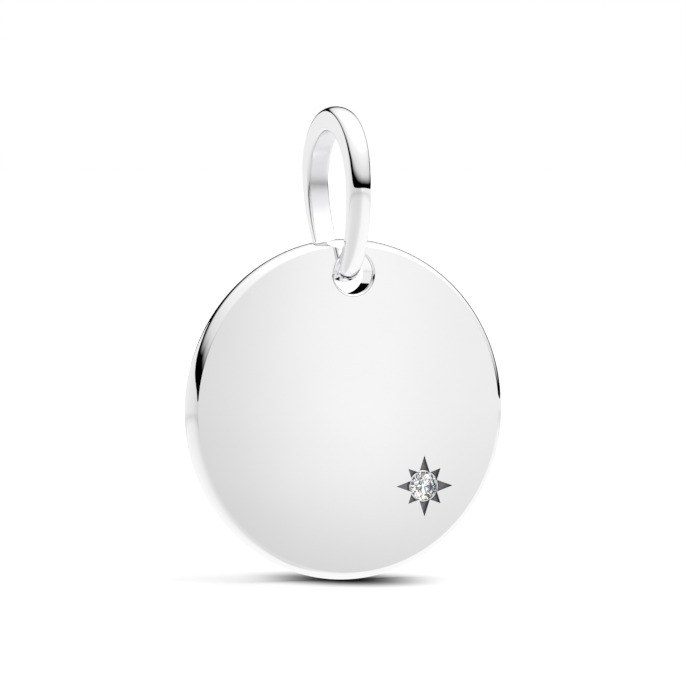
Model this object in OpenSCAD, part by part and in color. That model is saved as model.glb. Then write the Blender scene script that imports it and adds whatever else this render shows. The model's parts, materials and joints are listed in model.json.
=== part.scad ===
// Disc pendant: a polished silver disc with a round hole near its top edge,
// an egg-shaped bail ring through that hole, and a small round stone set in
// the middle of a cut eight-ray star.
//
// Millimetres. +Z is up, the disc's front looks along -Y, and a chain runs
// along X through the bail. The origin is where the chain bears: the middle
// of the bail's inner top.

/* [Disc] */
// Diameter of the disc over its rim
disc_d = 20; // [18:0.5:26]
// Thickness of the disc
disc_t = 1.6; // [1.4:0.1:2.2]
// How far the rim's curve reaches in over each face
rim_reach = 0.44; // [0.36:0.02:0.6]
// Small radius where the rim turns into a face
rim_corner_r = 0.28; // [0.2:0.01:0.32]

/* [Hole] */
// Distance from the rim to the centre of the hole
hole_inset = 2; // [1.9:0.05:2.6]
// Place of the hole to the right of the disc's middle
hole_right = 0.26; // [0:0.02:0.3]
// Least free play between the bail's wire and the hole
hole_play = 0.15; // [0.08:0.01:0.25]
// How far the wire lies below the middle of the hole
wire_drop = 0.05; // [0:0.05:0.2]
// Radius of the polished edge of the hole
hole_edge_r = 0.15; // [0.1:0.01:0.22]

/* [Bail] */
// Width of the bail along the chain
bail_w = 1.38; // [1:0.02:1.6]
// Room between a face of the disc and the bail's leg at its widest
leg_room = 1.97; // [1.9:0.01:2.6]
// Height of the opening, from the lower wire to the chain
opening_h = 8.02; // [7:0.1:11]
// Thickness of the wall at the top, under the chain
wall_top = 1.44; // [1:0.02:1.9]
// Thickness of the wall at the widest level
wall_side = 1.1; // [0.8:0.05:1.4]
// Thickness of the wire that passes through the hole
wall_low = 1; // [0.8:0.05:1.2]
// How far the legs draw in below the widest level, as a share
leg_taper = 0.2; // [0:0.02:0.3]
// How far the opening's widest level sits below the outline's
opening_drop = 0.8; // [0.3:0.05:1]
// Radius of the dome across the bail's outer side
bail_dome_r = 1.05; // [0.95:0.05:2]
// Rounding of the outer corners
bail_outer_r = 0.16; // [0.08:0.02:0.24]
// Rounding of the inner corners
bail_inner_r = 0.2; // [0.1:0.02:0.3]
// How far the bail leans back, in degrees
bail_lean = 12; // [8:1:14]

/* [Star] */
// Place of the star to the right of the disc's centre
star_x = 4.79; // [3:0.1:5.5]
// Place of the star below the disc's centre
star_below = 4.57; // [3:0.1:5.5]
// Length of the four long rays from the star's centre
long_ray = 1.8; // [1.6:0.01:2.4]
// Length of the four short rays from the star's centre
short_ray = 1.46; // [1.3:0.01:1.7]
// Width of a long ray where it leaves the collar
long_ray_w = 0.58; // [0.4:0.01:0.66]
// Width of a short ray where it leaves the collar
short_ray_w = 0.5; // [0.3:0.01:0.56]
// Depth of the cut rays
ray_depth = 0.22; // [0.14:0.01:0.35]

/* [Stone] */
// Diameter of the round brilliant stone
stone_d = 1.75; // [1.5:0.05:1.8]
// Diameter of the stone's table, as a share of the stone's
table_share = 0.56; // [0.5:0.01:0.6]
// Slope of the main facets above the girdle, in degrees
crown_slope = 34.5; // [30:0.5:36]
// Slope of the main facets below the girdle, in degrees
pavilion_slope = 40.8; // [39:0.2:42]
// Thickness of the girdle
girdle_t = 0.04; // [0.03:0.01:0.08]
// Gap between the stone and its seat
stone_gap = 0.03; // [0.02:0.01:0.05]
// How far the collar's lip reaches in over the stone's edge
lip_over = 0.03; // [0.01:0.01:0.05]
// Thickness of the collar's wall
collar_t = 0.05; // [0.04:0.01:0.1]
// How far the collar's top lies below the disc's face
collar_sink = 0.1; // [0.04:0.01:0.12]
// How far the table stands above the disc's face
table_rise = 0.05; // [0:0.01:0.07]

/* [Hidden] */

silver = [0.86, 0.87, 0.88];
crystal = [0.92, 0.95, 0.98, 0.7];

// Smoothness of round surfaces, and a margin by which cuts pass a face
round_steps = 96;
cut_past = 0.5;

disc_r = disc_d / 2;
half_t = disc_t / 2;

// The rim is a wide arc between two small corner arcs. The wide arc's radius
// follows from where the corner arcs' centres have to be.
corner_x = disc_r - rim_reach;
corner_y = half_t - rim_corner_r;
rim_arc_r = (rim_reach^2 - rim_corner_r^2 + corner_y^2)
          / (2 * (rim_reach - rim_corner_r));
rim_arc_x = disc_r - rim_arc_r;
rim_arc_end = atan2(corner_y, corner_x - rim_arc_x);

// The hole clears the far corners of the wire by the free play.
hole_r = norm([bail_w / 2 + hole_right, wall_low / 2]) + hole_play;
hole_z = disc_r - hole_inset;

// The bail's outline is half a circle above its widest level and a tapered
// half oval below it. The opening is an oval of its own, a little lower.
opening_r = half_t + leg_room;
bail_r = opening_r + wall_side;
opening_up = bail_r - wall_top + opening_drop;
opening_down = opening_h - opening_up;
bail_down = opening_down + opening_drop + wall_low;
// The opening's angle lags by this, so that sections stand square to the wall
section_lag = asin(opening_drop / opening_up);
bail_steps = 96;
corner_steps = 4;
dome_steps = 6;

// Where the bail's centre lies, seen from the disc's centre, and the chain
wire_to_centre = bail_down - wall_low / 2;
bail_y = wire_to_centre * sin(bail_lean);
bail_z = hole_z - wire_drop + wire_to_centre * cos(bail_lean);
seat_rise = bail_r - wall_top;
chain_y = bail_y + seat_rise * sin(bail_lean);
chain_z = bail_z + seat_rise * cos(bail_lean);

// The stone
stone_r = stone_d / 2;
table_r = stone_r * table_share;
crown_h = (stone_r - table_r) * tan(crown_slope);
pavilion_h = stone_r * tan(pavilion_slope);
main_facets = 8;
facet_turn = 180 / main_facets;
// Where the star facets and the lower halves end, from table or point to girdle
star_facet_share = 0.5;
lower_half_share = 0.22;

seat_r = stone_r + stone_gap;
lip_r = stone_r - lip_over;
collar_r = seat_r + collar_t;
// How far a sloping face of the seat moves away to keep the gap square to it
function slope_ease(slope) = stone_gap * (1 - sin(slope)) / cos(slope);

// Stands a shape drawn round Z on the disc's front: its +Z then looks at -Y.
module face_front() {
    translate([0, -half_t, 0]) rotate([90, 0, 0]) children();
}

// Moves a shape from the star's own centre to its place on the front.
module at_star() {
    translate([star_x, 0, -star_below]) face_front() children();
}

// Half of the disc's section: radius along X, thickness along Y.
module disc_section() {
    reach = rim_arc_r + cut_past;
    intersection() {
        union() {
            translate([0, -half_t]) square([corner_x, disc_t]);
            for (side = [-1, 1])
                translate([corner_x, side * corner_y])
                    circle(r = rim_corner_r, $fn = round_steps);
            intersection() {
                translate([rim_arc_x, 0]) circle(r = rim_arc_r, $fn = round_steps);
                polygon([
                    [rim_arc_x, 0],
                    [rim_arc_x + reach * cos(rim_arc_end), -reach * sin(rim_arc_end)],
                    [disc_r + reach, 0],
                    [rim_arc_x + reach * cos(rim_arc_end), reach * sin(rim_arc_end)]
                ]);
            }
        }
        translate([0, -half_t]) square([disc_r, disc_t]);
    }
}

// What is cut for the hole: a bore whose two ends flare out in a small arc.
module hole_cut() {
    flare_r = hole_r + hole_edge_r;
    rotate_extrude($fn = round_steps)
        difference() {
            translate([0, -half_t - cut_past]) square([flare_r, disc_t + 2 * cut_past]);
            for (side = [-1, 1])
                translate([flare_r, side * (half_t - hole_edge_r)])
                    circle(r = hole_edge_r, $fn = round_steps);
            translate([hole_r, hole_edge_r - half_t])
                square([hole_edge_r, disc_t - 2 * hole_edge_r]);
        }
}

// One ray as a pointed blade from the star's centre, of a stated width where
// it leaves the collar.
module ray(reach, width) {
    half_w = width / 2 * reach / (reach - collar_r);
    polygon([[0, -half_w], [reach, 0], [0, half_w]]);
}

// The whole star, flat.
module star_outline() {
    for (turn = [0 : 90 : 270]) {
        rotate(turn) ray(long_ray, long_ray_w);
        rotate(turn + 45) ray(short_ray, short_ray_w);
    }
}

// The eight cut rays. They are shallower over the collar round the stone.
module ray_cuts() {
    translate([0, 0, -collar_sink])
        linear_extrude(collar_sink + cut_past)
            intersection() {
                star_outline();
                circle(r = collar_r + collar_t, $fn = round_steps);
            }
    translate([0, 0, -ray_depth])
        linear_extrude(ray_depth + cut_past)
            difference() {
                star_outline();
                circle(r = collar_r, $fn = round_steps);
            }
}

// The stone's seat, all round at one gap from it: a lip over the crown, a
// wall round the girdle and a cone under the pavilion.
module seat_cut() {
    girdle_top = table_rise - crown_h;
    wall_top_z = girdle_top + slope_ease(crown_slope);
    wall_low_z = girdle_top - girdle_t - slope_ease(pavilion_slope);
    rotate_extrude($fn = round_steps)
        polygon([
            [0, wall_low_z - seat_r * tan(pavilion_slope)],
            [seat_r, wall_low_z],
            [seat_r, wall_top_z],
            [lip_r, wall_top_z + (seat_r - lip_r) * tan(crown_slope)],
            [lip_r, cut_past],
            [0, cut_past]
        ]);
}

module disc() {
    color(silver)
    translate([0, -chain_y, -chain_z])
    difference() {
        rotate([90, 0, 0]) rotate_extrude($fn = round_steps) disc_section();
        translate([hole_right, 0, hole_z]) rotate([90, 0, 0]) hole_cut();
        at_star() {
            ray_cuts();
            seat_cut();
        }
    }
}

// Points of the bail's outline and of its opening, at an angle from the top.
function below(angle) = max(0, -cos(angle));
function outline_point(angle) = [
    bail_r * sin(angle) * (1 - leg_taper * below(angle)^2),
    (cos(angle) > 0 ? bail_r : bail_down) * cos(angle)
];
function opening_point(angle) =
    let (turn = angle - section_lag * sin(angle))
    [
        opening_r * sin(turn),
        (cos(turn) > 0 ? opening_up : opening_down) * cos(turn) - opening_drop
    ];

// The points of a rounded corner, a quarter turn from a first angle.
function corner_points(centre, radius, first) = [
    for (step = [0 : corner_steps])
        let (angle = first + 90 * step / corner_steps)
        centre + radius * [cos(angle), sin(angle)]
];

// How far the domed outer side lies below its middle, at a place across it
function dome_drop(across) = bail_dome_r - sqrt(bail_dome_r^2 - across^2);

// A section of the bail: width along the chain, and height from the opening's
// wall outwards. Its outer side is first flat with rounded corners, and is
// then lowered to the dome.
function section_points(height) =
    let (
        outer_x = bail_w / 2 - bail_outer_r,
        inner_x = bail_w / 2 - bail_inner_r,
        outer_side = concat(
            corner_points([outer_x, height - bail_outer_r], bail_outer_r, 0),
            [for (step = [1 : dome_steps - 1])
                [outer_x * (1 - 2 * step / dome_steps), height]],
            corner_points([-outer_x, height - bail_outer_r], bail_outer_r, 90)
        )
    )
    concat(
        [for (point = outer_side) point - [0, dome_drop(point[0])]],
        corner_points([-inner_x, bail_inner_r], bail_inner_r, 180),
        corner_points([inner_x, bail_inner_r], bail_inner_r, 270)
    );

// The same section placed in the bail, across its wall at one angle.
function placed_section(angle) =
    let (
        inner = opening_point(angle),
        outer = outline_point(angle),
        height = norm(outer - inner),
        outwards = (outer - inner) / height
    )
    [
        for (point = section_points(height))
            let (place = inner + point[1] * outwards)
            [point[0], place[0], place[1]]
    ];

module bail() {
    per_ring = 4 * (corner_steps + 1) + dome_steps - 1;
    points = [
        for (step = [0 : bail_steps - 1])
            each placed_section(360 * step / bail_steps)
    ];
    faces = [
        for (step = [0 : bail_steps - 1], side = [0 : per_ring - 1])
            let (
                here = step * per_ring,
                next = ((step + 1) % bail_steps) * per_ring,
                other = (side + 1) % per_ring
            )
            each [
                [here + side, here + other, next + other],
                [here + side, next + other, next + side]
            ]
    ];
    color(silver)
    translate([0, bail_y - chain_y, bail_z - chain_z])
    rotate([-bail_lean, 0, 0])
        polyhedron(points = points, faces = faces);
}

// The stone's rings of points, each a radius, a height and a first turn. The
// girdle's middle height is zero and the table looks up.
function ring(radius, height, count, first) = [
    for (step = [0 : count - 1])
        let (angle = first + 360 * step / count)
        [radius * cos(angle), radius * sin(angle), height]
];

module brilliant() {
    top = girdle_t / 2;
    // The star facets' lower corners lie on the planes of the crown's mains,
    // and the lower halves' inner corners on those of the pavilion's.
    star_r = table_r + (stone_r - table_r) * star_facet_share;
    star_h = top + crown_h * (stone_r - star_r * cos(facet_turn)) / (stone_r - table_r);
    half_r = stone_r * lower_half_share;
    half_h = -top - pavilion_h * (1 - lower_half_share * cos(facet_turn));
    girdle_points = 2 * main_facets;
    points = concat(
        ring(table_r, top + crown_h, main_facets, 0),
        ring(star_r, star_h, main_facets, facet_turn),
        ring(stone_r, top, girdle_points, 0),
        ring(stone_r, -top, girdle_points, 0),
        ring(half_r, half_h, main_facets, facet_turn),
        [[0, 0, -top - pavilion_h]]
    );
    // Where each ring starts in the list of points
    star_at = main_facets;
    upper_at = star_at + main_facets;
    lower_at = upper_at + girdle_points;
    half_at = lower_at + girdle_points;
    tip = half_at + main_facets;
    faces = concat(
        [[for (step = [1 : main_facets]) main_facets - step]],
        [for (step = [0 : main_facets - 1])
            let (
                next = (step + 1) % main_facets,
                last = (step + main_facets - 1) % main_facets,
                left = 2 * step,
                middle = left + 1,
                right = (left + 2) % girdle_points
            )
            each [
                [step, next, star_at + step],
                [step, star_at + step, upper_at + left, star_at + last],
                [star_at + step, upper_at + middle, upper_at + left],
                [star_at + step, upper_at + right, upper_at + middle],
                [upper_at + left, upper_at + middle, lower_at + middle, lower_at + left],
                [upper_at + middle, upper_at + right, lower_at + right, lower_at + middle],
                [lower_at + left, lower_at + middle, half_at + step],
                [lower_at + middle, lower_at + right, half_at + step],
                [lower_at + left, half_at + step, tip, half_at + last]
            ]]
    );
    polyhedron(points = points, faces = faces);
}

module stone() {
    color(crystal)
    translate([0, -chain_y, -chain_z])
    at_star() translate([0, 0, table_rise - crown_h - girdle_t / 2])
        brilliant();
}

disc();
bail();
stone();
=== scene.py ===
"""Looks of a disc pendant: a polished disc on an egg-shaped bail, with a round
stone in a cut eight-ray star.

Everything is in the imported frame: +Z is up, the disc's front looks along -Y
and the origin is where the chain bears in the bail. Sizes are millimetres
until a mesh is finished, and metres from there on.
"""

import json
import logging
import math
from dataclasses import dataclass, field, replace
from enum import Enum

import bpy
from mathutils import Matrix, Vector
from mathutils.geometry import tessellate_polygon


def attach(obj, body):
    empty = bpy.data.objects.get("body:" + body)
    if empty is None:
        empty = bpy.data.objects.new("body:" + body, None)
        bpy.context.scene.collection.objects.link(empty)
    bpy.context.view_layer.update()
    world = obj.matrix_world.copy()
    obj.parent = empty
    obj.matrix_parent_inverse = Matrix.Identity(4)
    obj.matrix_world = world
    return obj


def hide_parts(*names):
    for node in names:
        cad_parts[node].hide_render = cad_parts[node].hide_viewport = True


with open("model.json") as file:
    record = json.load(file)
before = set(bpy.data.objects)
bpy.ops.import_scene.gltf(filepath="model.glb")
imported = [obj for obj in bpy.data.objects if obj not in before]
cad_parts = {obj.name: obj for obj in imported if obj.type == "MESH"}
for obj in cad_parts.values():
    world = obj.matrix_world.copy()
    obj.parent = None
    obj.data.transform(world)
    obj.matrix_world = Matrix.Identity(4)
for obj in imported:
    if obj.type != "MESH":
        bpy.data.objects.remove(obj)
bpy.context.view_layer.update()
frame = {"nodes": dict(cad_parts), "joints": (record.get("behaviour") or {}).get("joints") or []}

MM = 0.001
LOG = logging.getLogger("disc_pendant")

# The disc swings about the middle of its hole, which places everything else
HOLE_CENTRE = Vector(frame["joints"][0]["pos_m"]) / MM


class Surface(Enum):
    """The finishes of the disc, by the material slot that holds each."""

    POLISHED = 0
    FACE = 1
    DARKENED = 2


@dataclass(frozen=True)
class Station:
    """One point of a turned section, with the surface's direction there.

    Radius and height are in millimetres, the height along the axis of turning.
    """

    radius: float
    height: float
    normal_out: float
    normal_up: float


def arc(centre_radius: float, centre_height: float, radius: float,
        start: float, end: float, steps: int, side: int = 1) -> list[Station]:
    """Makes the stations of a circular arc.

    Args:
        centre_radius: The arc's centre, out from the axis of turning.
        centre_height: The arc's centre, along that axis.
        radius: The arc's own radius.
        start: First direction from the centre, in degrees from outwards.
        end: Last direction from the centre.
        steps: How many pieces the arc is cut into.
        side: 1 where the surface faces away from the centre, -1 towards it.

    Returns:
        The stations, from start to end.
    """
    stations = []
    for step in range(steps + 1):
        angle = math.radians(start + (end - start) * step / steps)
        out, up = math.cos(angle), math.sin(angle)
        stations.append(Station(centre_radius + radius * out,
                                centre_height + radius * up, side * out, side * up))
    return stations


def slope(first: tuple[float, float], last: tuple[float, float]) -> list[Station]:
    """Makes the two stations of a straight piece of section.

    Args:
        first: Radius and height where the piece starts.
        last: Radius and height where it ends. Metal is on its right.

    Returns:
        The two stations, with one direction square to the piece.
    """
    run, rise = last[0] - first[0], last[1] - first[1]
    length = math.hypot(run, rise)
    out, up = -rise / length, run / length
    return [Station(*first, out, up), Station(*last, out, up)]


def full_turn(steps: int) -> list[float]:
    """Gives the angles of a full turn in equal steps, in radians, both ends included."""
    return [math.tau * step / steps for step in range(steps + 1)]


def put_in_scene(name: str, data: bpy.types.ID) -> bpy.types.Object:
    """Makes an object at the origin and links it to the scene.

    Args:
        name: The object's name.
        data: Its mesh or camera.

    Returns:
        The object.
    """
    thing = bpy.data.objects.new(name, data)
    bpy.context.scene.collection.objects.link(thing)
    return thing


@dataclass
class MeshDraft:
    """A mesh being drawn in millimetres, with an exact normal at each corner."""

    points: list[Vector] = field(default_factory=list)
    faces: list[list[int]] = field(default_factory=list)
    normals: list[Vector] = field(default_factory=list)
    slots: list[int] = field(default_factory=list)
    places: dict[tuple[int, int, int], int] = field(default_factory=dict)
    grains_per_mm: float = 1e5

    def vertex(self, point: Vector) -> int:
        """Finds or adds the vertex at a point, so that neighbours share it.

        Args:
            point: The point.

        Returns:
            The vertex's number.
        """
        key = tuple(round(value * self.grains_per_mm) for value in point)
        if key not in self.places:
            self.places[key] = len(self.points)
            self.points.append(point.copy())
        return self.places[key]

    def face(self, corners: list[Vector], normals: list[Vector],
             surface: Surface = Surface.POLISHED) -> None:
        """Adds a face and turns it to look the way of its normals.

        Args:
            corners: The corners in order, either way round.
            normals: The surface's direction at each corner.
            surface: The finish of the face.
        """
        kept: list[tuple[int, Vector]] = []
        for corner, normal in zip(corners, normals):
            index = self.vertex(corner)
            if index not in (entry[0] for entry in kept):
                kept.append((index, normal))
        if len(kept) < 3:
            return
        area = Vector((0.0, 0.0, 0.0))
        for this, following in zip(kept, kept[1:] + kept[:1]):
            area += self.points[this[0]].cross(self.points[following[0]])
        outwards = sum((entry[1] for entry in kept), Vector((0.0, 0.0, 0.0)))
        if area.dot(outwards) < 0:
            kept.reverse()
        self.faces.append([entry[0] for entry in kept])
        self.normals.extend(entry[1] for entry in kept)
        self.slots.append(surface.value)

    def flat(self, corners: list[Vector], normal: Vector,
             surface: Surface = Surface.POLISHED) -> None:
        """Adds a flat face with one normal all over."""
        self.face(corners, [normal] * len(corners), surface)

    def pierced(self, loops: list[list[Vector]], normal: Vector) -> None:
        """Adds one of the disc's flat faces, with holes in it.

        Args:
            loops: The outer edge, then the edge of each hole.
            normal: The direction of the face.
        """
        corners = [corner for loop in loops for corner in loop]
        for triangle in tessellate_polygon(loops):
            self.flat([corners[index] for index in triangle], normal, Surface.FACE)

    def turned(self, centre: Vector, stations: list[Station], angles: list[float],
               surface: Surface = Surface.POLISHED) -> None:
        """Adds the surface swept by a section that turns round an axis along -Y.

        Args:
            centre: The point of the axis from which heights count.
            stations: The section.
            angles: Where the section stops on its way round, in radians.
            surface: The finish of the faces.
        """
        rows = [[turned_point(centre, station, angle) for angle in angles]
                for station in stations]
        for row, next_row in zip(rows, rows[1:]):
            for step in range(len(angles) - 1):
                ring = [row[step], row[step + 1], next_row[step + 1], next_row[step]]
                self.face([place for place, _ in ring], [way for _, way in ring], surface)

    def finish(self, name: str, materials: list[bpy.types.Material]) -> bpy.types.Object:
        """Makes the object, in metres, with its normals and materials.

        Args:
            name: The piece's name.
            materials: One material for each surface, in slot order.

        Returns:
            The object, linked to the scene.
        """
        mesh = bpy.data.meshes.new(name)
        mesh.from_pydata([point * MM for point in self.points], [], self.faces)
        mesh.polygons.foreach_set("material_index", self.slots)
        mesh.shade_smooth()
        mesh.normals_split_custom_set([normal.normalized() for normal in self.normals])
        for material in materials:
            mesh.materials.append(material)
        return put_in_scene(name, mesh)


def turned_point(centre: Vector, station: Station, angle: float) -> tuple[Vector, Vector]:
    """Places a station at an angle round an axis along -Y, from +X towards +Z.

    Args:
        centre: The point of the axis from which heights count.
        station: The station of the section.
        angle: The angle, in radians.

    Returns:
        The point and the surface's direction there.
    """
    across, up = math.cos(angle), math.sin(angle)
    place = Vector((station.radius * across, -station.height, station.radius * up))
    way = Vector((station.normal_out * across, -station.normal_up, station.normal_out * up))
    return centre + place, way


class NodeTree:
    """Adds nodes to a tree and joins them, for materials and for geometry."""

    def __init__(self, tree: bpy.types.NodeTree) -> None:
        """Takes the tree to add to."""
        self.tree = tree

    def add(self, kind: str, inputs: dict[str, object] | None = None,
            **settings: object) -> bpy.types.Node:
        """Adds a node.

        Args:
            kind: The node's type.
            inputs: A value or a socket for each input, by name or identifier.
            settings: The node's own settings.

        Returns:
            The node.
        """
        node = self.tree.nodes.new(kind)
        for name, value in settings.items():
            setattr(node, name, value)
        for name, value in (inputs or {}).items():
            self.feed(self.input_of(node, name), value)
        return node

    def input_of(self, node: bpy.types.Node, name: str) -> bpy.types.NodeSocket:
        """Finds a node's input by its identifier, or else by its name.

        Args:
            node: The node.
            name: The identifier or the name.

        Returns:
            The input.
        """
        for socket in node.inputs:
            if socket.identifier == name:
                return socket
        return node.inputs[name]

    def feed(self, socket: bpy.types.NodeSocket, value: object) -> None:
        """Sets an input to a value, or joins a socket to it.

        Args:
            socket: The input.
            value: A plain value, a socket or a number of the tree.
        """
        if isinstance(value, Number):
            value = value.socket
        if isinstance(value, bpy.types.NodeSocket):
            self.tree.links.new(value, socket)
        else:
            socket.default_value = value


class Number:
    """A number in a node tree, whose arithmetic adds math nodes."""

    def __init__(self, nodes: NodeTree, socket: bpy.types.NodeSocket) -> None:
        """Takes the tree and the socket that puts the number out."""
        self.nodes = nodes
        self.socket = socket

    def math(self, operation: str, *others: "Number | float") -> "Number":
        """Adds one math node on this number and the others.

        Args:
            operation: What the node does.
            others: Its further numbers.

        Returns:
            The number that it puts out.
        """
        names = ("Value", "Value_001", "Value_002")
        inputs = dict(zip(names, (self, *others)))
        node = self.nodes.add("ShaderNodeMath", inputs, operation=operation)
        return Number(self.nodes, node.outputs[0])

    def __add__(self, other: "Number | float") -> "Number":
        """Adds."""
        return self.math("ADD", other)

    def __sub__(self, other: "Number | float") -> "Number":
        """Subtracts."""
        return self.math("SUBTRACT", other)

    def __mul__(self, other: "Number | float") -> "Number":
        """Multiplies."""
        return self.math("MULTIPLY", other)

    def __truediv__(self, other: "Number | float") -> "Number":
        """Divides."""
        return self.math("DIVIDE", other)

    def above(self) -> "Number":
        """Gives the number where it's over zero, and zero elsewhere."""
        return self.math("MAXIMUM", 0.0)

    def negative(self) -> "Number":
        """Changes the sign."""
        return self.math("MULTIPLY", -1.0)


def new_material(name: str) -> tuple[bpy.types.Material, NodeTree, bpy.types.Node]:
    """Makes a material with nodes.

    Args:
        name: The material's name.

    Returns:
        The material, its tree and its Principled shader.
    """
    material = bpy.data.materials.new(name)
    material.use_nodes = True
    return material, NodeTree(material.node_tree), material.node_tree.nodes["Principled BSDF"]


@dataclass(frozen=True)
class Hairlines:
    """Fine marks left by polishing or brushing, as one shared shader group."""

    name: str = "hairlines"
    mark_detail: float = 4.0
    mark_roughness: float = 0.6
    cloud_scale: float = 260.0
    cloud_detail: float = 2.0
    cloud_roughness: float = 0.5

    def drawn_on(self, nodes: NodeTree, place: bpy.types.NodeSocket, fineness: float,
                 length: tuple[float, float, float]) -> bpy.types.Node:
        """Adds the marks to a material.

        Args:
            nodes: The material's tree.
            place: Where the surface is.
            fineness: How fine the marks are.
            length: How closely they follow each other along each axis.

        Returns:
            The group's node.
        """
        inputs = {"Vector": place, "Fineness": fineness, "Length": length}
        return nodes.add("ShaderNodeGroup", inputs, node_tree=self.group())

    def group(self) -> bpy.types.NodeTree:
        """Builds the group, or finds it where it's already built.

        Returns:
            The group.
        """
        if self.name in bpy.data.node_groups:
            return bpy.data.node_groups[self.name]
        tree = bpy.data.node_groups.new(self.name, "ShaderNodeTree")
        for name, kind in (("Vector", "NodeSocketVector"), ("Fineness", "NodeSocketFloat"),
                           ("Length", "NodeSocketVector")):
            tree.interface.new_socket(name=name, in_out="INPUT", socket_type=kind)
        for name in ("Marks", "Clouds"):
            tree.interface.new_socket(name=name, in_out="OUTPUT", socket_type="NodeSocketFloat")
        nodes = NodeTree(tree)
        given = nodes.add("NodeGroupInput").outputs
        drawn_out = nodes.add("ShaderNodeVectorMath",
                              {"Vector": given["Vector"], "Vector_001": given["Length"]},
                              operation="MULTIPLY")
        marks = nodes.add("ShaderNodeTexNoise", {
            "Vector": drawn_out.outputs[0], "Scale": given["Fineness"],
            "Detail": self.mark_detail, "Roughness": self.mark_roughness})
        clouds = nodes.add("ShaderNodeTexNoise", {
            "Vector": given["Vector"], "Scale": self.cloud_scale,
            "Detail": self.cloud_detail, "Roughness": self.cloud_roughness})
        nodes.add("NodeGroupOutput", {"Marks": marks.outputs["Fac"],
                                      "Clouds": clouds.outputs["Fac"]})
        return tree


@dataclass(frozen=True)
class MetalFinish:
    """A metal surface with its marks, seen as colour, gloss and fine relief."""

    name: str
    light: tuple[float, float, float]
    dark: tuple[float, float, float]
    gloss_from: float
    gloss_to: float
    fineness: float
    mark_length: tuple[float, float, float]
    relief_depth: float
    metallic: float = 1.0
    bow: float = 0.0
    # Under an optional named mask the surface is rougher, which is a real satin finish, and darker
    # by a multiplied tone, which is painted shade.
    satin_and_shade_where: str = ""
    soft_by: float = 0.0
    painted_shade_tone: tuple[float, float, float] = (1.0, 1.0, 1.0)

    def bowed(self, nodes: NodeTree, place: bpy.types.NodeSocket,
              marks: bpy.types.NodeSocket) -> Number:
        """Adds up the relief: the fine marks and a slight bow from side to side.

        Args:
            nodes: The material's tree.
            place: Where the surface is.
            marks: The fine marks, from 0 to 1.

        Returns:
            The relief, in metres.
        """
        across = Number(nodes, nodes.add("ShaderNodeSeparateXYZ",
                                         {"Vector": place}).outputs["X"])
        slope_per_metre = math.radians(self.bow) / MM
        return Number(nodes, marks) * self.relief_depth - across * across * slope_per_metre * 0.5

    def material(self) -> bpy.types.Material:
        """Builds the material.

        Returns:
            The material.
        """
        material, nodes, shader = new_material(self.name)
        place = nodes.add("ShaderNodeTexCoord").outputs["Object"]
        marks = Hairlines().drawn_on(nodes, place, self.fineness, self.mark_length)
        tone = nodes.add("ShaderNodeMix", {
            "Factor_Float": marks.outputs["Clouds"],
            "A_Color": (*self.dark, 1.0), "B_Color": (*self.light, 1.0)}, data_type="RGBA")
        gloss = nodes.add("ShaderNodeMapRange", {
            "Value": marks.outputs["Marks"], "To Min": self.gloss_from, "To Max": self.gloss_to})
        bump = nodes.add("ShaderNodeBump", {
            "Height": self.bowed(nodes, place, marks.outputs["Marks"]),
            "Strength": 1.0, "Distance": 1.0})
        colour = tone.outputs[2]
        roughness = Number(nodes, gloss.outputs["Result"])
        if self.satin_and_shade_where:
            mask = nodes.add("ShaderNodeAttribute", attribute_name=self.satin_and_shade_where)
            roughness = roughness + Number(nodes, mask.outputs["Fac"]) * self.soft_by
            # Painted shade: the colour under the mask is multiplied by a darker tone.
            darker = nodes.add("ShaderNodeMix", {
                "Factor_Float": mask.outputs["Fac"], "A_Color": colour,
                "B_Color": (*self.painted_shade_tone, 1.0)}, data_type="RGBA", blend_type="MULTIPLY")
            colour = darker.outputs[2]
        nodes.feed(shader.inputs["Base Color"], colour)
        nodes.feed(shader.inputs["Roughness"], roughness)
        nodes.feed(shader.inputs["Normal"], bump.outputs["Normal"])
        shader.inputs["Metallic"].default_value = self.metallic
        return material


@dataclass(frozen=True)
class GemFinish:
    """A clear cut stone."""

    name: str = "clear_stone"
    refraction: float = 2.16
    clearness: tuple[float, float, float] = (0.985, 0.99, 1.0)
    fineness: float = 900.0

    def material(self) -> bpy.types.Material:
        """Builds the material.

        Returns:
            The material.
        """
        material, nodes, shader = new_material(self.name)
        place = nodes.add("ShaderNodeTexCoord").outputs["Object"]
        marks = Hairlines().drawn_on(nodes, place, self.fineness, (1.0, 1.0, 1.0))
        tint = nodes.add("ShaderNodeMix", {
            "Factor_Float": marks.outputs["Clouds"],
            "A_Color": (*self.clearness, 1.0), "B_Color": (1.0, 1.0, 1.0, 1.0)},
            data_type="RGBA")
        nodes.feed(shader.inputs["Base Color"], tint.outputs[2])
        shader.inputs["Roughness"].default_value = 0.0
        shader.inputs["IOR"].default_value = self.refraction
        shader.inputs["Transmission Weight"].default_value = 1.0
        return material


@dataclass(frozen=True)
class Ray:
    """One cut ray of the star: a blade from the star's centre."""

    turn: float
    reach: float
    width: float

    def half_angle(self, radius: float, collar_radius: float) -> float:
        """Gives the angle from the ray's middle to its side on a circle.

        Args:
            radius: The circle's radius.
            collar_radius: Where the ray has its stated width.

        Returns:
            The angle, in radians.
        """
        taper = self.width / 2 / (self.reach - collar_radius)
        bend = 1 + taper ** 2
        pull = taper ** 2 * self.reach
        along = (pull + math.sqrt(pull ** 2 - bend * (pull * self.reach - radius ** 2))) / bend
        return math.atan2(taper * (self.reach - along), along)


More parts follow.
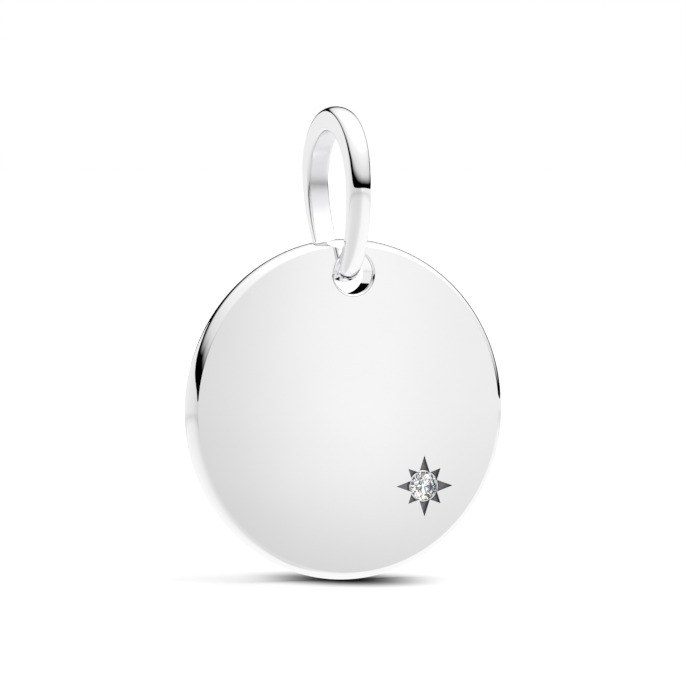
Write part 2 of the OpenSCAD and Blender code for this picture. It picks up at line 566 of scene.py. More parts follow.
@dataclass
class StarSetting:
    """The cut star with the collar and the seat of the stone."""

    right: float = 4.79
    below: float = 4.57
    long_reach: float = 1.8
    short_reach: float = 1.46
    long_width: float = 0.58
    short_width: float = 0.5
    ray_depth: float = 0.22
    collar_sink: float = 0.1
    collar_wall: float = 0.05
    collar_lean_in: float = math.radians(-20)
    collar_lean_out: float = math.radians(65)
    stone_radius: float = 0.875
    stone_gap: float = 0.03
    lip_over: float = 0.03
    table_rise: float = 0.05
    table_share: float = 0.56
    crown_slope: float = math.radians(34.5)
    pavilion_slope: float = math.radians(40.8)
    girdle: float = 0.04
    steps: int = 8

    @property
    def seat_radius(self) -> float:
        """The bore round the stone's girdle."""
        return self.stone_radius + self.stone_gap

    @property
    def collar_radius(self) -> float:
        """The outside of the collar."""
        return self.seat_radius + self.collar_wall

    @property
    def lip_radius(self) -> float:
        """The mouth of the collar, a little smaller than the stone."""
        return self.stone_radius - self.lip_over

    def rays(self) -> list[Ray]:
        """Lists the eight rays, long and short by turns."""
        return [Ray(math.radians(45 * index),
                    self.short_reach if index % 2 else self.long_reach,
                    self.short_width if index % 2 else self.long_width)
                for index in range(8)]

    def neighbours(self) -> list[tuple[Ray, Ray]]:
        """Pairs each ray with the next, and the last with the first a full turn on.

        Returns:
            The pairs, once round.
        """
        rays = self.rays()
        closing = replace(rays[0], turn=rays[0].turn + math.tau)
        return list(zip(rays, rays[1:] + [closing]))

    def fan(self, ray: Ray, radius: float) -> list[float]:
        """Spreads angles over a ray's mouth on a circle, side to side."""
        half = ray.half_angle(radius, self.collar_radius)
        return [ray.turn + half * (2 * step / self.steps - 1) for step in range(self.steps + 1)]

    def place(self, face: Vector, radius: float, angle: float, depth: float) -> Vector:
        """Finds a point of the star.

        Args:
            face: The star's centre on the disc's face.
            radius: Distance from the centre.
            angle: Direction from the centre, in radians.
            depth: How far the point lies below the face.

        Returns:
            The point.
        """
        return face + Vector((radius * math.cos(angle), depth, radius * math.sin(angle)))

    def edge(self, face: Vector) -> list[Vector]:
        """Gives the star's outline on the disc's face, once round.

        Args:
            face: The star's centre on the disc's face.

        Returns:
            The corners in order.
        """
        outline = []
        for ray, following in self.neighbours():
            mouth, collar = self.fan(ray, self.lip_radius), self.fan(ray, self.collar_radius)
            gap_end = self.fan(following, self.lip_radius)[0]
            corners = [(self.lip_radius, mouth[0]), (self.collar_radius, collar[0]),
                       (ray.reach, ray.turn), (self.collar_radius, collar[-1]),
                       (self.lip_radius, mouth[-1]),
                       (self.lip_radius, (mouth[-1] + gap_end) / 2)]
            outline += [self.place(face, radius, angle, 0) for radius, angle in corners]
        return outline

    def cut(self, draft: MeshDraft, face: Vector) -> None:
        """Adds the star, the collar and the seat to the disc's mesh.

        Args:
            draft: The disc's mesh.
            face: The star's centre on the disc's face.
        """
        section = self.lip_underside()
        lip_low = section[0][1]
        lip_angles = []
        for ray, following in self.neighbours():
            self.cut_ray(draft, face, ray)
            mouth = self.fan(ray, self.lip_radius)
            gap_end = self.fan(following, self.lip_radius)[0]
            gap = [mouth[-1], (mouth[-1] + gap_end) / 2, gap_end]
            self.bore(draft, face, mouth, [-self.collar_sink, lip_low])
            self.bore(draft, face, gap, [0.0, -self.collar_sink, lip_low])
            lip_angles += mouth[:-1] + gap[:-1]
        lip_angles.append(lip_angles[0] + math.tau)
        for first, last in zip(section, section[1:]):
            draft.turned(face, slope(first, last), lip_angles)

    def bore(self, draft: MeshDraft, face: Vector, angles: list[float],
             heights: list[float]) -> None:
        """Adds a stretch of the collar's mouth, from one height down to the next.

        Args:
            draft: The disc's mesh.
            face: The star's centre on the disc's face.
            angles: The stretch's directions from the centre, in radians.
            heights: The heights, from the top down.
        """
        for high, low in zip(heights, heights[1:]):
            stations = [Station(self.lip_radius, high, -1.0, 0.0),
                        Station(self.lip_radius, low, -1.0, 0.0)]
            draft.turned(face, stations, angles)

    def lip_underside(self) -> list[tuple[float, float]]:
        """Gives the seat's section from the lip to its point.

        Returns:
            Radius and height of each corner.
        """
        girdle_top = self.table_rise - self.stone_radius * (1 - self.table_share) * math.tan(
            self.crown_slope)
        wall_top = girdle_top + self.eased(self.crown_slope)
        wall_low = girdle_top - self.girdle - self.eased(self.pavilion_slope)
        lip_run = self.seat_radius - self.lip_radius
        return [(self.lip_radius, wall_top + lip_run * math.tan(self.crown_slope)),
                (self.seat_radius, wall_top), (self.seat_radius, wall_low),
                (0.0, wall_low - self.seat_radius * math.tan(self.pavilion_slope))]

    def eased(self, angle: float) -> float:
        """Tells how far a sloping face moves away to keep the gap square to it."""
        return self.stone_gap * (1 - math.sin(angle)) / math.cos(angle)

    def cut_ray(self, draft: MeshDraft, face: Vector, ray: Ray) -> None:
        """Adds one ray: its floor, its walls and the collar's top inside it.

        Args:
            draft: The disc's mesh.
            face: The star's centre on the disc's face.
            ray: The ray.
        """
        front = Vector((0.0, -1.0, 0.0))
        mouth, collar = self.fan(ray, self.lip_radius), self.fan(ray, self.collar_radius)
        for step in range(self.steps):
            ends = [(self.lip_radius, mouth[step], self.collar_lean_in),
                    (self.lip_radius, mouth[step + 1], self.collar_lean_in),
                    (self.collar_radius, collar[step + 1], self.collar_lean_out),
                    (self.collar_radius, collar[step], self.collar_lean_out)]
            draft.face([self.place(face, radius, angle, self.collar_sink)
                        for radius, angle, _ in ends],
                       [Vector((math.cos(angle) * math.sin(lean), -math.cos(lean),
                                math.sin(angle) * math.sin(lean)))
                        for _, angle, lean in ends])
            draft.flat([self.place(face, ray.reach, ray.turn, self.ray_depth),
                        self.place(face, self.collar_radius, collar[step], self.ray_depth),
                        self.place(face, self.collar_radius, collar[step + 1], self.ray_depth)],
                       front, Surface.DARKENED)
        draft.turned(face, [Station(self.collar_radius, -self.collar_sink, 1.0, 0.0),
                            Station(self.collar_radius, -self.ray_depth, 1.0, 0.0)],
                     collar, Surface.DARKENED)
        for end in (0, -1):
            self.cut_side(draft, face, ray, mouth[end], collar[end])

    def cut_side(self, draft: MeshDraft, face: Vector, ray: Ray,
                 mouth: float, collar: float) -> None:
        """Adds one upright side of a ray.

        Args:
            draft: The disc's mesh.
            face: The star's centre on the disc's face.
            ray: The ray.
            mouth: Direction of the side's end at the lip.
            collar: Direction of the side where it passes the collar.
        """
        tip = self.place(face, ray.reach, ray.turn, 0)
        passing = self.place(face, self.collar_radius, collar, 0)
        inner = self.place(face, self.lip_radius, mouth, 0)
        along = (tip - inner).normalized()
        inwards = along.cross(Vector((0.0, 1.0, 0.0)))
        middle = self.place(face, self.collar_radius, ray.turn, 0)
        if inwards.dot(middle - passing) < 0:
            inwards.negate()
        low, sunk = Vector((0.0, self.ray_depth, 0.0)), Vector((0.0, self.collar_sink, 0.0))
        draft.flat([passing, tip, tip + low, passing + low, passing + sunk], inwards,
                   Surface.DARKENED)
        draft.flat([inner, passing, passing + sunk, inner + sunk], inwards, Surface.DARKENED)


@dataclass
class DiscPlate:
    """The polished disc: domed rim, flat faces, drilled hole and cut star."""

    wire_width: float
    wire_height: float
    radius: float = 10.0
    thickness: float = 1.6
    rim_reach: float = 0.44
    rim_corner: float = 0.28
    rim_edge_turn: float = 77.0
    hole_inset: float = 2.0
    hole_right: float = 0.26
    hole_play: float = 0.15
    hole_edge: float = 0.15
    rim_steps: int = 320
    hole_steps: int = 144
    corner_steps: int = 12
    dome_steps: int = 20
    edge_steps: int = 8
    star: StarSetting = field(default_factory=StarSetting)

    @property
    def centre(self) -> Vector:
        """The disc's middle, below its hole and a little to its left."""
        return HOLE_CENTRE - Vector((self.hole_right, 0.0, self.radius - self.hole_inset))

    @property
    def hole_radius(self) -> float:
        """The bore that lets the bail's wire through."""
        return self.hole_play + math.hypot(self.wire_width / 2 + self.hole_right,
                                           self.wire_height / 2)

    def rim_section(self) -> list[Station]:
        """Gives the rim's section: a wide arc between two small corner arcs.

        Returns:
            The stations, from the front to the back.
        """
        corner_out = self.radius - self.rim_reach
        corner_up = self.thickness / 2 - self.rim_corner
        dome = ((self.rim_reach ** 2 - self.rim_corner ** 2 + corner_up ** 2)
                / (2 * (self.rim_reach - self.rim_corner)))
        dome_out = self.radius - dome
        turn = math.degrees(math.atan2(corner_up, corner_out - dome_out))
        front = arc(corner_out, corner_up, self.rim_corner, 90, turn, self.corner_steps)
        middle = arc(dome_out, 0, dome, turn, -turn, self.dome_steps)
        back = arc(corner_out, -corner_up, self.rim_corner, -turn, -90, self.corner_steps)
        return ([self.edged(station, turn) for station in front] + middle[1:-1]
                + [self.edged(station, turn) for station in back])

    def edged(self, station: Station, first_turn: float) -> Station:
        """Turns a corner's direction so that it meets the face at a slight edge.

        Args:
            station: A station of one of the rim's corners.
            first_turn: Direction where the corner starts, in degrees from outwards.

        Returns:
            The station with its new direction.
        """
        turn = math.degrees(math.atan2(abs(station.normal_up), station.normal_out))
        share = (turn - first_turn) / (90 - first_turn)
        angle = math.radians(first_turn + share * (self.rim_edge_turn - first_turn))
        return Station(station.radius, station.height, math.cos(angle),
                       math.copysign(math.sin(angle), station.normal_up))

    def hole_section(self) -> list[Station]:
        """Gives the hole's section: a bore with a small rounding at each end.

        Returns:
            The stations, from the front to the back.
        """
        flare = self.hole_radius + self.hole_edge
        end = self.thickness / 2 - self.hole_edge
        return (arc(flare, end, self.hole_edge, 90, 180, self.edge_steps)
                + arc(flare, -end, self.hole_edge, 180, 270, self.edge_steps))

    def build(self, finishes: dict[Surface, bpy.types.Material]) -> bpy.types.Object:
        """Builds the disc and makes it stand for its node.

        Args:
            finishes: The material of each of its surfaces.

        Returns:
            The disc.
        """
        draft = MeshDraft()
        rim, hole = self.rim_section(), self.hole_section()
        around, bored = full_turn(self.rim_steps), full_turn(self.hole_steps)
        draft.turned(self.centre, rim, around)
        draft.turned(HOLE_CENTRE, hole, bored)
        face = self.centre + Vector((self.star.right, -self.thickness / 2, -self.star.below))
        self.star.cut(draft, face)
        for end, way in ((0, -1.0), (-1, 1.0)):
            loops = [[turned_point(self.centre, rim[end], angle)[0] for angle in around[:-1]],
                     [turned_point(HOLE_CENTRE, hole[end], angle)[0] for angle in bored[:-1]]]
            if end == 0:
                loops.append(self.star.edge(face))
            draft.pierced(loops, Vector((0.0, way, 0.0)))
        piece = draft.finish("polished_disc", [finishes[surface] for surface in Surface])
        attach(piece, "disc")
        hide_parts("disc")
        return piece


@dataclass
class BailRing:
    """The egg-shaped bail, swept by a rule round its opening."""

    width: float = 1.38
    leg_room: float = 1.97
    opening_height: float = 8.02
    wall_top: float = 1.44
    wall_side: float = 1.1
    wall_low: float = 1.0
    taper: float = 0.2
    opening_sink: float = 0.8
    dome_radius: float = 1.05
    outer_rounding: float = 0.16
    inner_rounding: float = 0.2
    lean: float = math.radians(12)
    wire_drop: float = 0.05
    rings: int = 224
    section_points: int = 112
    rounding_steps: int = 12
    merge_within: float = 1e-3
    inside_name: str = "inside"

    def sizes(self, disc_thickness: float) -> dict[str, float]:
        """Works out the sizes that the sweep is given.

        Args:
            disc_thickness: Thickness of the disc between the bail's legs.

        Returns:
            The sizes in millimetres, by the name of the input they go to.
        """
        opening = disc_thickness / 2 + self.leg_room
        outline = opening + self.wall_side
        rise = outline - self.wall_top + self.opening_sink
        fall = self.opening_height - rise
        return {"Width": self.width, "Reference Wall": self.wall_top,
                "Outline Radius": outline,
                "Outline Fall": fall + self.opening_sink + self.wall_low,
                "Outline Taper": self.taper, "Opening Radius": opening,
                "Opening Rise": rise, "Opening Fall": fall,
                "Opening Sink": self.opening_sink, "Dome Radius": self.dome_radius,
                "Outer Rounding": self.outer_rounding, "Inner Rounding": self.inner_rounding}

    def tree(self) -> bpy.types.NodeTree:
        """Builds the sweep's tree, with a named input for each size.

        Returns:
            The tree.
        """
        tree = bpy.data.node_groups.new("bail_sweep", "GeometryNodeTree")
        tree.interface.new_socket(name="Geometry", in_out="OUTPUT",
                                  socket_type="NodeSocketGeometry")
        for name in self.sizes(1.0):
            tree.interface.new_socket(name=name, in_out="INPUT", socket_type="NodeSocketFloat")
        for name, kind in (("Rings", "NodeSocketInt"), ("Section Points", "NodeSocketInt"),
                           ("Finish", "NodeSocketMaterial")):
            tree.interface.new_socket(name=name, in_out="INPUT", socket_type=kind)
        nodes = NodeTree(tree)
        given = nodes.add("NodeGroupInput").outputs
        size = {socket.name: Number(nodes, socket) for socket in given if socket.name}
        columns = size["Section Points"] + 1.0
        grid = nodes.add("GeometryNodeMeshGrid", {
            "Vertices X": size["Rings"] + 1.0, "Vertices Y": columns})
        index = Number(nodes, nodes.add("GeometryNodeInputIndex").outputs[0])
        ring = (index / columns).math("FLOOR")
        place, inside = self.swept_place(nodes, size, ring / size["Rings"] * math.tau,
                                         index - ring * columns)
        marked = nodes.add("GeometryNodeStoreNamedAttribute", {
            "Geometry": grid.outputs["Mesh"], "Name": self.inside_name, "Value": inside},
            data_type="FLOAT", domain="POINT")
        moved = nodes.add("GeometryNodeSetPosition", {
            "Geometry": marked.outputs[0], "Position": place})
        merged = nodes.add("GeometryNodeMergeByDistance", {
            "Geometry": moved.outputs[0], "Distance": self.merge_within})
        smooth = nodes.add("GeometryNodeSetShadeSmooth", {"Geometry": merged.outputs[0]})
        real = nodes.add("GeometryNodeRealizeInstances", {"Geometry": smooth.outputs[0]})
        dressed = nodes.add("GeometryNodeSetMaterial", {
            "Geometry": real.outputs[0], "Material": given["Finish"]})
        nodes.add("NodeGroupOutput", {"Geometry": dressed.outputs[0]})
        return tree

    def swept_place(self, nodes: NodeTree, size: dict[str, Number], angle: Number,
                    side: Number) -> tuple[bpy.types.NodeSocket, Number]:
        """Works out where a vertex of the sweep lies.

        Args:
            nodes: The tree.
            size: The tree's inputs by name.
            angle: Angle of the vertex's section from the top, in radians.
            side: Number of the vertex in its section.

        Returns:
            The socket that puts out the place, and how far the vertex is on the inside.
        """
        across, up = angle.math("SINE"), angle.math("COSINE")
        below = up.negative().above()
        taper = (size["Outline Taper"] * below * below).math("MULTIPLY_ADD", -1.0, 1.0)
        outer_y = size["Outline Radius"] * across * taper
        outer_z = size["Outline Radius"] * up.above() - size["Outline Fall"] * below
        lag = (size["Opening Sink"] / size["Opening Rise"]).math("ARCSINE")
        turn = angle - lag * across
        turn_up = turn.math("COSINE")
        inner_y = size["Opening Radius"] * turn.math("SINE")
        inner_z = (size["Opening Rise"] * turn_up.above()
                   - size["Opening Fall"] * turn_up.negative().above() - size["Opening Sink"])
        run, rise = outer_y - inner_y, outer_z - inner_z
        wall = (run * run + rise * rise).math("SQRT")
        width, height, inside = self.section_place(nodes, size, wall, side)
        joined = nodes.add("ShaderNodeCombineXYZ", {
            "X": width, "Y": inner_y + height * run / wall,
            "Z": inner_z + height * rise / wall})
        return joined.outputs[0], inside

    def section_place(self, nodes: NodeTree, size: dict[str, Number], wall: Number,
                      side: Number) -> tuple[Number, Number, Number]:
        """Works out a vertex's place in its rounded and domed section.

        Args:
            nodes: The tree.
            size: The tree's inputs by name.
            wall: Thickness of the wall there.
            side: Number of the vertex in its section.

        Returns:
            The place along the width, the height over the opening's wall, and 1 on
            the inside, fading to 0 over its rounded corners.
        """
        box = nodes.add("GeometryNodeCurvePrimitiveQuadrilateral", {
            "Width": size["Width"], "Height": size["Reference Wall"]})
        here = nodes.add("GeometryNodeInputPosition").outputs[0]
        outside = Number(nodes, nodes.add("ShaderNodeSeparateXYZ",
                                          {"Vector": here}).outputs["Y"]).math("GREATER_THAN", 0.0)
        rounding = (size["Inner Rounding"]
                    + (size["Outer Rounding"] - size["Inner Rounding"]) * outside)
        rounded = nodes.add("GeometryNodeFilletCurve", {
            "Curve": box.outputs[0], "Count": self.rounding_steps, "Radius": rounding},
            mode="POLY")
        even = nodes.add("GeometryNodeResampleCurve", {
            "Curve": rounded.outputs[0], "Count": size["Section Points"]})
        wrapped = side.math("MODULO", size["Section Points"])
        taken = nodes.add("GeometryNodeSampleIndex", {
            "Geometry": even.outputs[0], "Value": here, "Index": wrapped},
            data_type="FLOAT_VECTOR", domain="POINT")
        parts = nodes.add("ShaderNodeSeparateXYZ", {"Vector": taken.outputs[0]}).outputs
        level = Number(nodes, parts["Y"]) + size["Reference Wall"] * 0.5
        stretch = nodes.add("ShaderNodeMapRange", {
            "Value": level, "From Min": size["Inner Rounding"],
            "From Max": size["Reference Wall"] - size["Outer Rounding"]})
        width, dome = Number(nodes, parts["X"]), size["Dome Radius"]
        domed = (dome * dome - width * width).math("SQRT") - dome
        height = level + (wall - size["Reference Wall"] + domed) * Number(nodes, stretch.outputs[0])
        inside = (level / size["Inner Rounding"]).math("MULTIPLY_ADD", -1.0, 1.0).above()
        return width, height, inside

    def build(self, disc: DiscPlate, finish: bpy.types.Material) -> bpy.types.Object:
        """Sweeps the bail, bakes it and makes it stand for its node.

        Args:
            disc: The disc that hangs in the bail.
            finish: The bail's finish.

        Returns:
            The bail.
        """
        sizes = self.sizes(disc.thickness)
        tree = self.tree()
        host = put_in_scene("bail_host", bpy.data.meshes.new("bail_host"))
        sweep = host.modifiers.new("sweep", "NODES")
        sweep.node_group = tree
        values = {**sizes, "Rings": self.rings, "Section Points": self.section_points,
                  "Finish": finish}
        for item in tree.interface.items_tree:
            if item.in_out == "INPUT":
                sweep[item.identifier] = values[item.name]
        graph = bpy.context.evaluated_depsgraph_get()
        mesh = bpy.data.meshes.new_from_object(host.evaluated_get(graph), depsgraph=graph)
        bpy.data.objects.remove(host)
        wire = sizes["Outline Fall"] - self.wall_low / 2
        middle = HOLE_CENTRE + Vector((-disc.hole_right, wire * math.sin(self.lean),
                                       wire * math.cos(self.lean) - self.wire_drop))
        mesh.transform(Matrix.Scale(MM, 4) @ Matrix.Translation(middle)
                       @ Matrix.Rotation(-self.lean, 4, "X"))
        mesh.update()
        piece = put_in_scene("polished_bail", mesh)
        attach(piece, "bail")
        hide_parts("bail")
        return piece


@dataclass
class CutStone:
    """The round stone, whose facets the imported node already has."""

    node: str = "stone"

    def dress(self, finish: bpy.types.Material) -> bpy.types.Object:
        """Gives the stone its finish.

        Args:
            finish: The stone's finish.

        Returns:
            The stone.
        """
        stone = frame["nodes"][self.node]
        stone.data.materials.clear()
        stone.data.materials.append(finish)
        return stone


@dataclass(frozen=True)
class Stop:
    """A value of the surroundings in one direction, in degrees round or up."""

    at: float
    value: float


@dataclass
class Surroundings:
    """What the silver mirrors, by direction.

    A pale table and cards reach up to a sharp edge, over it lies a dark gap,
    and a wide soft light fills the rest. Directions round are in degrees from
    the back (+Y) towards the right (+X), and heights are degrees over the
    horizon. Only light that passes through the stone meets the lamps instead.
    """

    seen_white: float = 1.0
    card_top: tuple[Stop, ...] = (
        Stop(-180, -0.6), Stop(-160, 0.2), Stop(-150, 1.6), Stop(-140, 3.6), Stop(-120, 7.5),
        Stop(-90, 11.0), Stop(-60, 17.0), Stop(-30, 21.5), Stop(-12, 19.0), Stop(2, 3.0),
        Stop(40, 0.5), Stop(90, -0.6), Stop(180, -0.6))
    gap_top: tuple[Stop, ...] = (
        Stop(-180, 4.2), Stop(-172, 5.8), Stop(-160, 8.5), Stop(-148, 11.8), Stop(-134, 15.8),
        Stop(-120, 19.5), Stop(-90, 25.0), Stop(-60, 24.0), Stop(-30, 27.0), Stop(-10, 29.0),
        Stop(20, 22.0), Stop(60, 8.0), Stop(90, 2.6), Stop(120, 2.0), Stop(158, 2.4),
        Stop(180, 4.2))
    softness: tuple[Stop, ...] = (
        Stop(-180, 1.3), Stop(-120, 1.7), Stop(-60, 1.5), Stop(-30, 0.8), Stop(30, 0.9),
        Stop(100, 0.75), Stop(130, 0.8), Stop(158, 1.0), Stop(180, 1.3))
    light: tuple[Stop, ...] = (
        Stop(0.0, 0.0), Stop(1.3, 0.15), Stop(3.5, 0.45), Stop(5.7, 0.68), Stop(8.0, 0.79),
        Stop(12.5, 0.86), Stop(17.0, 0.93), Stop(24.0, 0.99), Stop(30.0, 1.05),
        Stop(37.0, 1.15), Stop(50.0, 1.9), Stop(60.0, 2.4))
    pale: tuple[Stop, ...] = (
        Stop(-180, 0.69), Stop(-150, 0.72), Stop(-120, 0.77), Stop(-90, 0.82), Stop(-30, 0.92),
        Stop(60, 0.92), Stop(120, 0.93), Stop(150, 0.9), Stop(156, 0.82), Stop(162, 0.75),
        Stop(168, 0.71), Stop(180, 0.69))
    table: tuple[Stop, ...] = (
        Stop(-20.0, 1.12), Stop(-8.0, 1.08), Stop(-6.0, 0.98), Stop(-4.4, 0.87),
        Stop(-3.4, 0.9), Stop(-2.4, 1.0), Stop(0.0, 1.0))
    window_at: float = 157.0
    window_width: float = 4.5
    window_light: float = 0.19
    window_low: float = -4.2
    window_high: float = -2.8
    lamp_scale: float = 5.0
    lamp_from: float = 0.46
    lamp_to: float = 0.54
    lamp_light: float = 1.25
    lamp_dark: float = 0.03
    lamp_detail: float = 1.0
    colour_spread: float = 0.005

    def build(self) -> None:
        """Makes the world with these surroundings."""
        world = bpy.data.worlds.new("studio")
        world.use_nodes = True
        bpy.context.scene.world = world
        world.node_tree.nodes.clear()
        nodes = NodeTree(world.node_tree)
        around = nodes.add("ShaderNodeBackground", {"Color": self.mirrored(nodes)})
        behind = nodes.add("ShaderNodeBackground", {"Strength": self.seen_white})
        behind.inputs["Color"].default_value = (1.0, 1.0, 1.0, 1.0)
        lamps = nodes.add("ShaderNodeBackground", {"Color": self.lamps(nodes)})
        path = nodes.add("ShaderNodeLightPath").outputs
        lit = nodes.add("ShaderNodeMixShader", {
            "Fac": path["Is Transmission Ray"], "Shader": around.outputs[0],
            "Shader_001": lamps.outputs[0]})
        mixed = nodes.add("ShaderNodeMixShader", {
            "Fac": path["Is Camera Ray"], "Shader": lit.outputs[0],
            "Shader_001": behind.outputs[0]})
        nodes.add("ShaderNodeOutputWorld", {"Surface": mixed.outputs[0]})

    def lamps(self, nodes: NodeTree) -> bpy.types.NodeSocket:
        """Makes the many small lamps whose light comes back out of the stone.

        Red, green and blue come from slightly different directions, as a cut
        stone spreads them.

        Args:
            nodes: The world's tree.

        Returns:
            The socket that puts out the colour.
        """
        way = nodes.add("ShaderNodeTexCoord").outputs["Generated"]
        bands = []
        for side in (-1, 0, 1):
            offset = side * self.colour_spread
            bent = nodes.add("ShaderNodeVectorMath",
                             {"Vector": way, "Vector_001": (offset, 0.0, offset)})
            lamp = nodes.add("ShaderNodeTexNoise", {
                "Vector": bent.outputs[0], "Scale": self.lamp_scale,
                "Detail": self.lamp_detail})
            edge = nodes.add("ShaderNodeMapRange", {
                "Value": lamp.outputs["Fac"], "From Min": self.lamp_from,
                "From Max": self.lamp_to, "To Min": self.lamp_dark,
                "To Max": self.lamp_light})
            bands.append(edge.outputs["Result"])
        colour = nodes.add("ShaderNodeCombineColor",
                           dict(zip(("Red", "Green", "Blue"), bands)))
        return colour.outputs[0]

    def mirrored(self, nodes: NodeTree) -> Number:
        """Works out the brightness in the direction that is looked in.

        Args:
            nodes: The world's tree.

        Returns:
            The brightness.
        """
        way = nodes.add("ShaderNodeTexCoord").outputs["Generated"]
        parts = nodes.add("ShaderNodeSeparateXYZ", {"Vector": way}).outputs
        round_by = Number(nodes, parts["X"]).math("ARCTAN2", Number(nodes, parts["Y"]))
        round_by = round_by.math("DEGREES")
        up_by = Number(nodes, parts["Z"]).math("ARCSINE").math("DEGREES")
        over_gap = ((up_by - self.curve(nodes, round_by, self.gap_top))
                    / self.curve(nodes, round_by, self.softness))
        light = self.curve(nodes, over_gap, self.light)
        window = nodes.add("ShaderNodeMapRange", {
            "Value": up_by, "From Min": self.window_low, "From Max": self.window_high,
            "To Min": 0.0, "To Max": self.window_light},
            interpolation_type="SMOOTHSTEP").outputs[0]
        off = (round_by - self.window_at) / self.window_width
        falloff = (off * off).negative().math("EXPONENT")
        card = (self.curve(nodes, round_by, self.pale)
                * self.curve(nodes, up_by, self.table) + falloff * Number(nodes, window))
        is_over = (up_by - self.curve(nodes, round_by, self.card_top)).math(
            "GREATER_THAN", 0.0)
        return card + (light - card) * is_over

    def curve(self, nodes: NodeTree, place: Number, stops: tuple[Stop, ...]) -> Number:
        """Reads a value off a curve through the stops, level beyond its ends.

        Args:
            nodes: The world's tree.
            place: Where to read.
            stops: The curve's points, from the least place up.

        Returns:
            The value there.
        """
        low, high = stops[0].at, stops[-1].at
        least = min(stop.value for stop in stops)
        span = max(stop.value for stop in stops) - least
        ramp = nodes.add("ShaderNodeValToRGB", {"Fac": (place - low) / (high - low)})
        points = ramp.color_ramp.elements
        for number, stop in enumerate(stops):
            spot = (stop.at - low) / (high - low)
            point = points[number] if number < 2 else points.new(spot)
            point.position = spot
            share = (stop.value - least) / span
            point.color = (share, share, share, 1.0)
        return Number(nodes, ramp.outputs["Color"]) * span + least


@dataclass
class PaleFloor:
    """The pale floor with a painted soft shade, which the silver doesn't mirror."""

    size: float = 6.0
    tone: float = 0.97
    shade_across: float = 3.7
    shade_deep: float = 5.9
    shade: float = 1.0
    shade_edge: float = 1.5

    def build(self, under: Vector) -> bpy.types.Object:
        """Lays the floor.

        Args:
            under: The point where the disc touches it, in millimetres.

        Returns:
            The floor.
        """
        half, lowest = self.size / 2, under.z * MM
        mesh = bpy.data.meshes.new("floor")
        mesh.from_pydata([(-half, -half, lowest), (half, -half, lowest),
                          (half, half, lowest), (-half, half, lowest)], [], [(0, 1, 2, 3)])
        mesh.materials.append(self.paper(under))
        floor = put_in_scene("floor", mesh)
        return floor

    def paper(self, under: Vector) -> bpy.types.Material:
        """Makes the floor's paper, with a soft shade where the disc stands.

        Args:
            under: The point where the disc touches it, in millimetres.

        Returns:
            The material.
        """
        paper, nodes, shader = new_material("pale_paper")
        place = nodes.add("ShaderNodeTexCoord").outputs["Object"]
        parts = nodes.add("ShaderNodeSeparateXYZ", {"Vector": place}).outputs
        across = (Number(nodes, parts["X"]) - under.x * MM) / (self.shade_across * MM)
        deep = (Number(nodes, parts["Y"]) - under.y * MM) / (self.shade_deep * MM)
        far = (across * across + deep * deep).math("POWER", self.shade_edge)
        fade = far.negative().math("EXPONENT")
        tone = (fade * -self.shade + 1.0) * self.tone
        nodes.feed(shader.inputs["Base Color"], tone)
        shader.inputs["Roughness"].default_value = 1.0
        shader.inputs["Specular IOR Level"].default_value = 0.0
        mirrored = nodes.add("ShaderNodeLightPath").outputs["Is Glossy Ray"]
        clear = nodes.add("ShaderNodeBsdfTransparent")
        mixed = nodes.add("ShaderNodeMixShader", {
            "Fac": mirrored, "Shader": shader.outputs[0], "Shader_001": clear.outputs[0]})
        nodes.feed(paper.node_tree.nodes["Material Output"].inputs["Surface"],
                   mixed.outputs[0])
        return paper


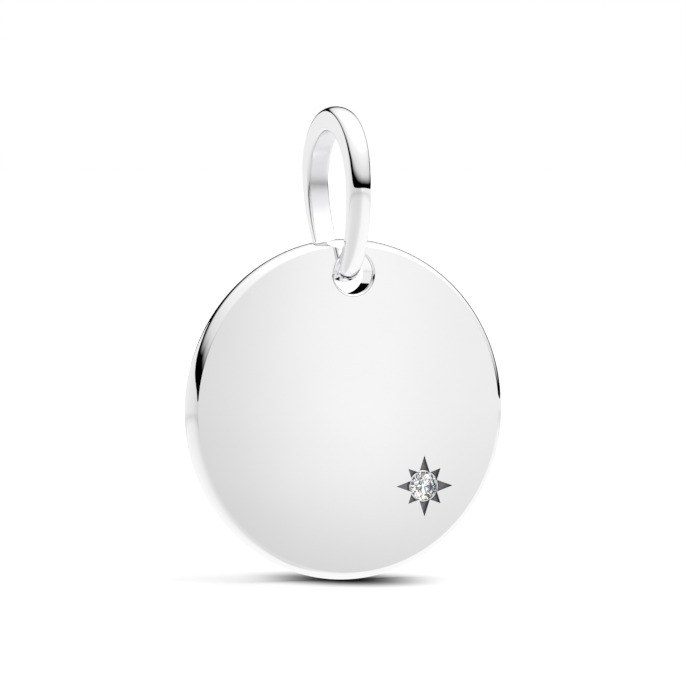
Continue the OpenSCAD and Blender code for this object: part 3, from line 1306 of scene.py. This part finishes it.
@dataclass
class PhotoCamera:
    """The camera at the photograph's viewing angle."""

    left_of_front: float = math.radians(23.03)
    above: float = math.radians(1.87)
    distance: float = 400.0
    seen_width: float = 40.27
    shift_right: float = -0.076
    shift_up: float = 3.89
    sensor: float = 36.0
    nearest_m: float = 0.01
    farthest_m: float = 20.0

    def build(self, target: Vector) -> bpy.types.Object:
        """Places the camera.

        Args:
            target: The disc's middle, in millimetres.

        Returns:
            The camera.
        """
        turn, lift = self.left_of_front, self.above
        right = Vector((math.cos(turn), -math.sin(turn), 0.0))
        back = Vector((-math.sin(turn) * math.cos(lift), -math.cos(turn) * math.cos(lift),
                       math.sin(lift)))
        up = back.cross(right)
        data = bpy.data.cameras.new("photo_camera")
        data.sensor_width = self.sensor
        data.lens = self.sensor * self.distance / self.seen_width
        data.clip_start = self.nearest_m
        data.clip_end = self.farthest_m
        camera = put_in_scene("photo_camera", data)
        place = (target + back * self.distance + right * self.shift_right
                 + up * self.shift_up) * MM
        camera.matrix_world = Matrix.Translation(place) @ Matrix(
            (right, up, back)).transposed().to_4x4()
        bpy.context.scene.camera = camera
        return camera


def main() -> None:
    """Builds the pendant's looks piece by piece."""
    logging.basicConfig(level=logging.INFO, format="%(name)s: %(message)s")
    bpy.context.scene.view_settings.view_transform = "Standard"
    ring = BailRing()
    disc = DiscPlate(wire_width=ring.width, wire_height=ring.wall_low)
    PhotoCamera().build(disc.centre)
    under = disc.centre - Vector((0.0, 0.0, disc.radius))
    Surroundings().build()
    PaleFloor().build(under)
    LOG.info("camera and studio stand, floor at %.4f mm", under.z)
    silver = MetalFinish("polished_silver", light=(0.93, 0.93, 0.935), dark=(0.9, 0.9, 0.91),
                         gloss_from=0.01, gloss_to=0.04, fineness=1500.0,
                         mark_length=(1.0, 1.0, 0.2), relief_depth=4e-9)
    bowed = replace(silver, name="polished_face", bow=0.25)
    dark = MetalFinish("darkened_silver", light=(0.42, 0.41, 0.44), dark=(0.17, 0.165, 0.18),
                       gloss_from=0.35, gloss_to=0.6, fineness=9000.0,
                       mark_length=(1.0, 1.0, 0.08), relief_depth=5e-6,
                       metallic=0.8)
    polished = silver.material()
    plate = disc.build({Surface.POLISHED: polished, Surface.FACE: bowed.material(),
                        Surface.DARKENED: dark.material()})
    LOG.info("%s: %d faces", plate.name, len(plate.data.polygons))
    # The bail's inside is rougher, which is a real satin finish, and darker, which is painted
    # shade.
    satin_and_shade_inside = replace(silver, name="polished_ring", satin_and_shade_where=ring.inside_name,
                           soft_by=0.24, painted_shade_tone=(0.92, 0.92, 0.93))
    bail = ring.build(disc, satin_and_shade_inside.material())
    LOG.info("%s: %d faces", bail.name, len(bail.data.polygons))
    stone = CutStone().dress(GemFinish().material())
    LOG.info("%s: dressed", stone.name)


if __name__ == "__main__":
    main()
